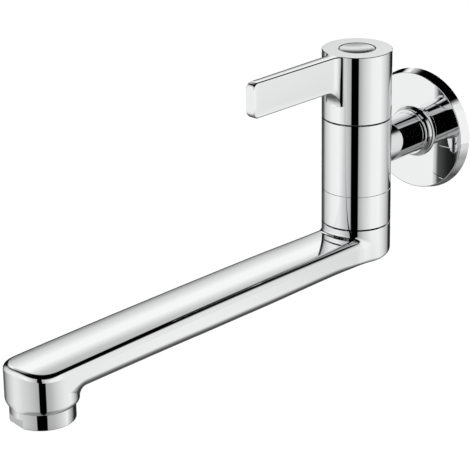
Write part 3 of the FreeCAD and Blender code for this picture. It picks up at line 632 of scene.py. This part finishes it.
def armGrid(b):
    # A tube on the inlet's axis. A ball of the fillet's radius rolls in the corner of tube and barrel:
    # its centre has y = tapY + sqrt((R + f)^2 - x^2), and the fillet is the arc between its two contacts.
    angle = np.linspace(0, 2 * np.pi, 240, endpoint=False)
    f = b["rootFillet"]
    outward = np.stack([np.cos(angle), np.zeros_like(angle), np.sin(angle)], -1)
    centre = outward * (b["armRadius"] + f)
    centre[:, 1] = tapY + np.sqrt((barrelRadius + f) ** 2 - centre[:, 0] ** 2)
    toTube = -outward
    toBarrel = -(centre - [0, tapY, 0]) * [1, 1, 0] / (barrelRadius + f)
    between = np.arccos((toTube * toBarrel).sum(1))[:, None]
    deep = centre + (f + b["rootDepth"]) * toBarrel

    def tubeRow(radius, y):
        place = outward * np.reshape(radius, (-1, 1))
        place[:, 1] = y
        return place

    rows = [tubeRow(b["armBore"], deep[:, 1]), deep]
    for t in np.linspace(1, 0, 14):
        arc = (toTube * np.sin((1 - t) * between) + toBarrel * np.sin(t * between)) / np.sin(between)
        rows.append(centre + f * arc)
    for t in (0.002, 0.05, 0.3, 0.6, 0.95, 1.0):
        rows.append(tubeRow(b["armRadius"], centre[:, 1] * (1 - t) + b["armEnd"] * t))
    steps = b["rowsPerPitch"] * int((b["nippleEnd"] - b["armEnd"]) / b["threadPitch"])
    for y in np.linspace(b["armEnd"] + 0.01, b["nippleEnd"], steps):
        rows.append(tubeRow(threadRadius(b, y, angle), y))
    rows.append(tubeRow(b["armBore"] + b["nippleChamfer"], b["nippleEnd"]))
    rows.append(tubeRow(b["armBore"], b["nippleEnd"] - b["nippleChamfer"]))
    rows.append(tubeRow(b["armBore"], deep[:, 1]))
    return np.array(rows), True


bodyGrids = [barrelGrid(body), armGrid(body)]
bodyPiece = makePiece("valve_body_shell", bodyGrids, "tap_body", ["valve_body"])

flange = {
    "backRadius": 31.4,
    "frontRadius": 30.0,
    "depth": 5.5,
    "wall": 2.2,
    "edgeRound": 0.5,
    "neckRadius": 11.9,
    "neckLength": 4.5,
    "footFillet": 2.0,
    "lipRound": 0.6,
    "bore": 10.7,
    "bossRadius": 14.6,
    "bossReach": 0.4,
    "rimRound": 0.15,
    "insideRound": 0.2,
    "hollowFillet": 1.0,
    "bossFillet": 0.5,
}


def flangeGrid(g):
    front = -g["depth"]
    end = front - g["neckLength"]
    corners = [
        (g["bore"], -g["bossReach"], 0),
        (g["bore"], end, 0),
        (g["neckRadius"], end, g["lipRound"]),
        (g["neckRadius"], front, g["footFillet"]),
        (g["frontRadius"], front, g["edgeRound"]),
        (g["backRadius"], 0, g["rimRound"]),
        (g["backRadius"] - g["wall"], 0, g["insideRound"]),
        (g["backRadius"] - g["wall"], front + g["wall"], g["hollowFillet"]),
        (g["bossRadius"], front + g["wall"], g["bossFillet"]),
        (g["bossRadius"], -g["bossReach"], g["insideRound"]),
        (g["bore"], -g["bossReach"], 0),
    ]
    return level(roundedPath(corners), 360)


flangeGrids = [flangeGrid(flange)]
flangePiece = makePiece("wall_flange_shell", flangeGrids, "tap_body", ["wall_flange"])

# Handle: a hub with a flat blade

handle = {
    "foot": 20.0,
    "top": 54.2,
    "turnAtRest": 2.0,
    "cavity": 13.6,
    "webLow": 40.9,
    "webHigh": 45.4,
    "bossRadius": 7.2,
    "bossFoot": 31.8,
    "bore": 4.05,
    "screwHole": 2.1,
    "capRoom": 9.1,
    "capChamfer": 0.2,
    "capFloor": 49.85,
    "screwRoom": 7.95,
    "reach": 76.1,
    "heightAtTip": 17.5,
    "heightAtHub": 17.3,
    "halfWidthAtTip": 2.55,
    "halfWidthAtHub": 3.25,
    "rootFillet": 4.5,
    "tipRound": 3.2,
    "underFillet": 8.0,
    "edgeRound": 0.95,
    "rootInside": 3.0,       # how far the blade reaches into the hub's wall, narrower there
    "rootNarrower": 0.6,
    "endShare": 0.9,         # the tip's last section, as a share of the blade's width
    "belowTop": 0.02,
}


def hubGrid(h):
    corners = [
        (h["capRoom"], h["capFloor"], 0),
        (h["capRoom"], h["top"] - h["capChamfer"], 0),
        (h["capRoom"] + h["capChamfer"], h["top"], 0),
        (barrelRadius - seamBevel, h["top"], 0),
        (barrelRadius, h["top"] - seamBevel, 0),
        (barrelRadius, h["foot"] + seamBevel, 0),
        (barrelRadius - seamBevel, h["foot"], 0),
        (h["cavity"], h["foot"], 0),
        (h["cavity"], h["webLow"], 0),
        (h["bossRadius"], h["webLow"], 0),
        (h["bossRadius"], h["bossFoot"], 0),
        (h["bore"], h["bossFoot"], 0),
        (h["bore"], h["webLow"], 0),
        (h["screwHole"], h["webLow"], 0),
        (h["screwHole"], h["webHigh"], 0),
        (h["screwRoom"], h["webHigh"], 0),
        (h["screwRoom"], h["capFloor"], 0),
        (h["capRoom"], h["capFloor"], 0),
    ]
    return upright(roundedPath(corners))


def roundedSection(edge):
    # The four corners of a rectangle as quarter circles: which corner each point belongs to, as signs,
    # and how far it lies inside that corner.
    quarter = quarterTurns(7)
    signs = np.repeat([(1, 1), (-1, 1), (-1, -1), (1, -1)], len(quarter), axis=0)
    angle = np.concatenate([quarter + turn * math.pi / 2 for turn in range(4)])
    inside = np.stack([np.cos(angle), np.sin(angle)], -1) - signs
    return signs, inside * edge


def bladeGrid(h):
    # Sections across the blade, each a rectangle with round edges. Its half width grows along a hollow
    # quarter circle where the blade meets the hub, and its foot drops along another:
    # width + f - sqrt(f^2 - back^2) and low - (u - sqrt(u^2 - drop^2)).
    f = h["rootFillet"]
    reach, tip, under = h["reach"], h["tipRound"], h["underFillet"]
    hubPlace = math.sqrt((barrelRadius + f) ** 2 - (h["halfWidthAtHub"] + f) ** 2)
    rootPlace = hubPlace * barrelRadius / (barrelRadius + f)
    places = np.concatenate([
        [rootPlace - h["rootInside"], rootPlace - h["rootInside"] / 2],
        hubPlace - f * np.sin(np.linspace(math.asin((hubPlace - rootPlace) / f), 0, 24)),
        np.linspace(hubPlace, reach - tip, 30)[1:-1],
        reach - tip + tip * np.sin(quarterTurns(14)),
    ])
    along = np.clip((places - hubPlace) / (reach - hubPlace), 0, 1)
    back = np.clip(hubPlace - places, 0, hubPlace - rootPlace)
    halfWidth = h["halfWidthAtHub"] + (h["halfWidthAtTip"] - h["halfWidthAtHub"]) * along
    halfWidth = halfWidth + f - np.sqrt(f * f - back ** 2)
    halfWidth[:2] = halfWidth[2] - h["rootNarrower"]
    drop = np.clip(barrelRadius + under - places, 0, under)
    tall = h["heightAtHub"] + (h["heightAtTip"] - h["heightAtHub"]) * along
    into = np.clip(places - (reach - tip), 0, tip)
    bend = tip - np.sqrt(np.maximum(tip ** 2 - into ** 2, 0))
    low = h["top"] - tall - (under - np.sqrt(under ** 2 - drop ** 2)) + bend
    high = h["top"] - h["belowTop"] - bend

    signs, inside = roundedSection(h["edgeRound"])
    middle, half = (high + low) / 2, (high - low) / 2
    x = signs[:, 0] * halfWidth[:, None] + inside[:, 0]
    z = middle[:, None] + signs[:, 1] * half[:, None] + inside[:, 1]
    grid = np.stack([x, np.broadcast_to(-places[:, None], x.shape), z], -1)
    first, last = grid[:1].copy(), grid[-1:].copy()
    first[..., 0], first[..., 2] = 0, middle[0]
    last[..., 0] *= h["endShare"]
    close = last.copy()
    close[..., 0], close[..., 2] = 0, middle[-1]
    grid = np.concatenate([first, grid, last, close])
    angle = math.radians(-h["turnAtRest"])
    turned = grid.copy()
    turned[..., 0] = grid[..., 0] * math.cos(angle) - grid[..., 1] * math.sin(angle)
    turned[..., 1] = tapY + grid[..., 0] * math.sin(angle) + grid[..., 1] * math.cos(angle)
    return turned, True


handleGrids = [hubGrid(handle), bladeGrid(handle)]
handlePiece = makePiece("handle_shell", handleGrids, "handle", ["handle"])

cap = {
    "radius": 8.95,
    "top": 54.05,
    "foot": 49.85,
    "dish": 0.6,
    "rim": 0.5,
    "rimRound": 0.15,
    "wall": 2.0,
    "plate": 2.0,
}


def capGrid(c):
    # Across the top: a narrow flat rim, then a shallow bowl, depth times (1 - (r / bowl)^2).
    bowl = c["radius"] - c["rim"]
    radius = np.linspace(bowl, 0, 20)
    dish = np.stack([radius, c["top"] - c["dish"] * (1 - (radius / bowl) ** 2)], -1)
    outside = roundedPath([
        (0, c["top"] - c["dish"] - c["plate"], 0),
        (c["radius"] - c["wall"], c["top"] - c["dish"] - c["plate"], 0),
        (c["radius"] - c["wall"], c["foot"], 0),
        (c["radius"], c["foot"], 0),
        (c["radius"], c["top"], c["rimRound"]),
        (bowl + 0.01, c["top"], 0),
    ])
    return upright(np.concatenate([outside, dish]))


capPiece = makePiece("handle_cap_disc", [capGrid(cap)], "handle", ["handle_cap"])


# Finishes

def nodeMaterial(name):
    material = bpy.data.materials.new(name)
    material.use_nodes = True
    tree = material.node_tree
    return material, tree, tree.nodes["Principled BSDF"]


def addNoise(tree, scale, detail=3.0):
    place = tree.nodes.new("ShaderNodeTexCoord")
    noise = tree.nodes.new("ShaderNodeTexNoise")
    noise.inputs["Scale"].default_value = scale
    noise.inputs["Detail"].default_value = detail
    tree.links.new(place.outputs["Object"], noise.inputs["Vector"])
    return noise


def cloudRoughness(tree, shader, noise, low, high):
    # The noise's 0 to 1 as a roughness from low to high
    spread = tree.nodes.new("ShaderNodeMapRange")
    spread.inputs["To Min"].default_value = low
    spread.inputs["To Max"].default_value = high
    tree.links.new(noise.outputs["Fac"], spread.inputs["Value"])
    tree.links.new(spread.outputs["Result"], shader.inputs["Roughness"])


chrome = {"colour": (0.90, 0.905, 0.91), "roughLow": 0.012, "roughHigh": 0.035, "cloudScale": 60.0}


def chromeMaterial(c):
    material, tree, shader = nodeMaterial("polishedChrome")
    shader.inputs["Base Color"].default_value = (*c["colour"], 1.0)
    shader.inputs["Metallic"].default_value = 1.0
    cloudRoughness(tree, shader, addNoise(tree, c["cloudScale"]), c["roughLow"], c["roughHigh"])
    return material


satin = {
    "colour": (0.80, 0.805, 0.815),
    # A dark colour mixed over the rim between the next two radii: painted shade of the groove round the
    # cap
    "edge": (0.10, 0.10, 0.105),
    "rimShadeFrom": 8.35,
    "rimShadeFull": 8.7,
    "roughLow": 0.144,
    "roughHigh": 0.176,
    "cloudScale": 300.0,
    "ringPitch": 0.35,
    "ringDepth": 0.004,
}


def satinMaterial(c):
    # The distance from the handle's axis darkens the rim with painted shade of the groove round the cap,
    # and, as a zigzag, gives fine turned rings.
    material, tree, shader = nodeMaterial("satinCap")
    place = tree.nodes.new("ShaderNodeTexCoord")
    centred = tree.nodes.new("ShaderNodeVectorMath")
    centred.operation = "MULTIPLY_ADD"
    centred.inputs[1].default_value = (1.0, 1.0, 0.0)
    centred.inputs[2].default_value = (0.0, -tapY * mm, 0.0)
    tree.links.new(place.outputs["Object"], centred.inputs[0])
    length = tree.nodes.new("ShaderNodeVectorMath")
    length.operation = "LENGTH"
    tree.links.new(centred.outputs[0], length.inputs[0])
    radius = length.outputs["Value"]
    # Where the painted shade of the groove darkens the rim
    rim = tree.nodes.new("ShaderNodeMapRange")
    rim.inputs["From Min"].default_value = c["rimShadeFrom"] * mm
    rim.inputs["From Max"].default_value = c["rimShadeFull"] * mm
    tree.links.new(radius, rim.inputs["Value"])
    mixed = tree.nodes.new("ShaderNodeMix")
    mixed.data_type = "RGBA"
    mixed.inputs["A"].default_value = (*c["colour"], 1.0)
    mixed.inputs["B"].default_value = (*c["edge"], 1.0)
    tree.links.new(rim.outputs["Result"], mixed.inputs["Factor"])
    tree.links.new(mixed.outputs["Result"], shader.inputs["Base Color"])
    shader.inputs["Metallic"].default_value = 1.0
    cloudRoughness(tree, shader, addNoise(tree, c["cloudScale"]), c["roughLow"], c["roughHigh"])
    ring = tree.nodes.new("ShaderNodeMath")
    ring.operation = "PINGPONG"
    ring.inputs[1].default_value = c["ringPitch"] * mm
    tree.links.new(radius, ring.inputs[0])
    bump = tree.nodes.new("ShaderNodeBump")
    bump.inputs["Strength"].default_value = c["ringDepth"]
    tree.links.new(ring.outputs[0], bump.inputs["Height"])
    tree.links.new(bump.outputs["Normal"], shader.inputs["Normal"])
    return material


def finish(piece, material):
    piece.data.materials.clear()
    piece.data.materials.append(material)


polishedChrome = chromeMaterial(chrome)
for piece in (spoutPiece, aeratorPiece, nutPiece, bodyPiece, flangePiece, handlePiece):
    finish(piece, polishedChrome)
finish(capPiece, satinMaterial(satin))


def plainMaterial(name, colour, roughness, metallic, scale, contrast):
    # One noise varies the colour by the contrast and the roughness by a fifth.
    material, tree, shader = nodeMaterial(name)
    shader.inputs["Metallic"].default_value = metallic
    noise = addNoise(tree, scale)
    ramp = tree.nodes.new("ShaderNodeValToRGB")
    ramp.color_ramp.elements[0].color = (*[v * (1 - contrast) for v in colour], 1.0)
    ramp.color_ramp.elements[1].color = (*[v * (1 + contrast) for v in colour], 1.0)
    tree.links.new(noise.outputs["Fac"], ramp.inputs["Fac"])
    tree.links.new(ramp.outputs["Color"], shader.inputs["Base Color"])
    cloudRoughness(tree, shader, noise, roughness * 0.8, roughness * 1.2)
    return material


finishes = {
    "chrome_plate": polishedChrome,
    "plain_brass": plainMaterial("turnedBrass", (0.72, 0.55, 0.27), 0.32, 1.0, 400.0, 0.06),
    "spring_steel": plainMaterial("springSteel", (0.58, 0.59, 0.61), 0.28, 1.0, 500.0, 0.05),
    "screen_steel": plainMaterial("screenSteel", (0.62, 0.63, 0.64), 0.35, 1.0, 500.0, 0.05),
    "black_rubber": plainMaterial("blackRubber", (0.03, 0.03, 0.03), 0.6, 0.0, 300.0, 0.15),
    "white_acetal": plainMaterial("whiteAcetal", (0.84, 0.84, 0.81), 0.42, 0.0, 200.0, 0.02),
    "white_ceramic": plainMaterial("whiteCeramic", (0.9, 0.9, 0.87), 0.15, 0.0, 200.0, 0.01),
}
slotOf = {part["node"]: part["material_slot"] for part in frame["record"]["subparts"]}
for name, node in frame["nodes"].items():
    finish(node, finishes[slotOf[name]])
print("finishes made")


# Studio: a pale floor well below the tap, and a soft white room. Its soft boxes to the left and to the
# right leave a dark gap on the camera's side and are dark above, and one more stands high behind.

studio = {
    "floorHeight": -0.42,
    "floorSize": 12.0,
    "floorGrey": 0.92,
    "floorRoughness": 0.9,
    "strength": 1.12,
    "gamma": 2.2,
    # Pairs of (degrees round from the camera, grey of 255): at the tap's height, lower and higher
    "middle": (
        (-180, 10), (-151, 45), (-133, 182), (-95, 232), (-64, 240), (-46, 214),
        (-21.3, 168), (-20.3, 2), (3.4, 2), (4.4, 160),
        (20, 199), (50, 236), (80, 240), (104, 208), (122, 172), (139, 60), (180, 10),
    ),
    "lower": (
        (-180, 10), (-145, 60), (-117, 170), (-91, 226), (-82, 211), (-40, 184),
        (-16.5, 165), (-15.5, 2), (19.5, 2), (20.5, 165),
        (44, 178), (88, 224), (96, 236), (120, 162), (140, 60), (180, 10),
    ),
    "upper": (
        (-150, 3), (-122, 60), (-95, 208),
        (-21.3, 190), (-20.3, 3), (3.4, 3), (4.4, 190),
        (50, 205), (90, 244), (100, 225), (112, 60), (120, 10), (180, 3),
    ),
    # Pairs of (degrees up, less this slant times the degrees off straight behind, grey of 255)
    "behind": (
        (-40, 90), (-15, 42), (4, 10), (12, 8), (13.6, 130), (16, 200), (21, 243), (24.5, 243),
        (28.3, 192), (34, 165), (38, 105), (42, 35), (47, 4),
    ),
    "slant": 0.42,
    "ceiling": 0.0003,
    "lowShade": 0.55,
    # Degrees over which one changes to the next: up, and round for the last
    "middleToLower": (-21, -24),
    "shadeFromTo": (-27, -45),
    "middleToUpper": (22, 34),
    "upperToCeiling": (36, 46),
    "sideToBehind": (124, 148),
}


def makeFloor(settings):
    half = settings["floorSize"] / 2
    height = settings["floorHeight"]
    corners = [(x * half, y * half, height) for x, y in ((-1, -1), (1, -1), (1, 1), (-1, 1))]
    mesh = bpy.data.meshes.new("floor")
    mesh.from_pydata(corners, [], [(0, 1, 2, 3)])
    floor = bpy.data.objects.new("floor", mesh)
    bpy.context.scene.collection.objects.link(floor)
    material, tree, shader = nodeMaterial("paleFloor")
    grey = settings["floorGrey"]
    shader.inputs["Base Color"].default_value = (grey, grey, grey, 1.0)
    shader.inputs["Roughness"].default_value = settings["floorRoughness"]
    mesh.materials.append(material)
    floor.visible_glossy = False


def makeRoom(settings):
    world = bpy.data.worlds.new("room")
    world.use_nodes = True
    bpy.context.scene.world = world
    tree = world.node_tree
    tree.nodes.clear()
    links = tree.links

    def value(kind, *inputs):
        node = tree.nodes.new("ShaderNodeMath")
        node.operation = kind
        for slot, given in zip(node.inputs, inputs):
            if isinstance(given, (int, float)):
                slot.default_value = given
            else:
                links.new(given, slot)
        return node.outputs[0]

    def change(source, low, high, kind="LINEAR"):
        # The source's low to high as 0 to 1
        node = tree.nodes.new("ShaderNodeMapRange")
        node.interpolation_type = kind
        node.inputs["From Min"].default_value = low
        node.inputs["From Max"].default_value = high
        links.new(source, node.inputs["Value"])
        return node.outputs["Result"]

    def ramp(source, stops):
        low, high = stops[0][0], stops[-1][0]
        node = tree.nodes.new("ShaderNodeValToRGB")
        elements = node.color_ramp.elements
        while len(elements) < len(stops):
            elements.new(0.5)
        for element, (place, grey) in zip(elements, stops):
            element.position = (place - low) / (high - low)
            linear = (grey / 255.0) ** settings["gamma"]
            element.color = (linear, linear, linear, 1.0)
        links.new(change(source, low, high), node.inputs["Fac"])
        return node.outputs["Color"]

    def mix(factor, first, second):
        node = tree.nodes.new("ShaderNodeMix")
        node.data_type = "RGBA"
        links.new(factor, node.inputs["Factor"])
        links.new(first, node.inputs["A"])
        links.new(second, node.inputs["B"])
        return node.outputs["Result"]

    def plain(grey):
        node = tree.nodes.new("ShaderNodeRGB")
        node.outputs[0].default_value = (grey, grey, grey, 1.0)
        return node.outputs[0]

    # Degrees round from the camera, to the right, and degrees up
    yaw = math.radians(camera["yaw"])
    direction = tree.nodes.new("ShaderNodeTexCoord")
    split = tree.nodes.new("ShaderNodeSeparateXYZ")
    links.new(direction.outputs["Generated"], split.inputs[0])
    x, y, z = split.outputs
    towards = value("ADD", value("MULTIPLY", x, math.sin(yaw)), value("MULTIPLY", y, -math.cos(yaw)))
    right = value("ADD", value("MULTIPLY", x, math.cos(yaw)), value("MULTIPLY", y, math.sin(yaw)))
    around = value("DEGREES", value("ARCTAN2", right, towards))
    height = value("DEGREES", value("ARCSINE", z))
    offBehind = value("SUBTRACT", value("FLOORED_MODULO", around, 360.0), 180.0)
    slanted = value("SUBTRACT", height, value("MULTIPLY", offBehind, settings["slant"]))

    def step(source, name):
        return change(source, *settings[name], "SMOOTHSTEP")

    middle = ramp(around, settings["middle"])
    side = mix(step(height, "middleToLower"), middle, ramp(around, settings["lower"]))
    shade = value("MULTIPLY", step(height, "shadeFromTo"), settings["lowShade"])
    shaded = tree.nodes.new("ShaderNodeVectorMath")
    shaded.operation = "SCALE"
    links.new(side, shaded.inputs[0])
    links.new(value("SUBTRACT", 1.0, shade), shaded.inputs["Scale"])
    side = mix(step(height, "middleToUpper"), shaded.outputs[0], ramp(around, settings["upper"]))
    side = mix(step(height, "upperToCeiling"), side, plain(settings["ceiling"]))
    behind = ramp(slanted, settings["behind"])
    room = mix(step(value("ABSOLUTE", around), "sideToBehind"), side, behind)

    # Only reflections see the room; everything else sees plain white
    path = tree.nodes.new("ShaderNodeLightPath")
    backdrop = tree.nodes.new("ShaderNodeBackground")
    links.new(mix(path.outputs["Is Glossy Ray"], plain(1.0), room), backdrop.inputs["Color"])
    backdrop.inputs["Strength"].default_value = settings["strength"]
    output = tree.nodes.new("ShaderNodeOutputWorld")
    links.new(backdrop.outputs[0], output.inputs["Surface"])


makeFloor(studio)
makeRoom(studio)
bpy.context.scene.view_settings.view_transform = "Standard"
print("studio made")
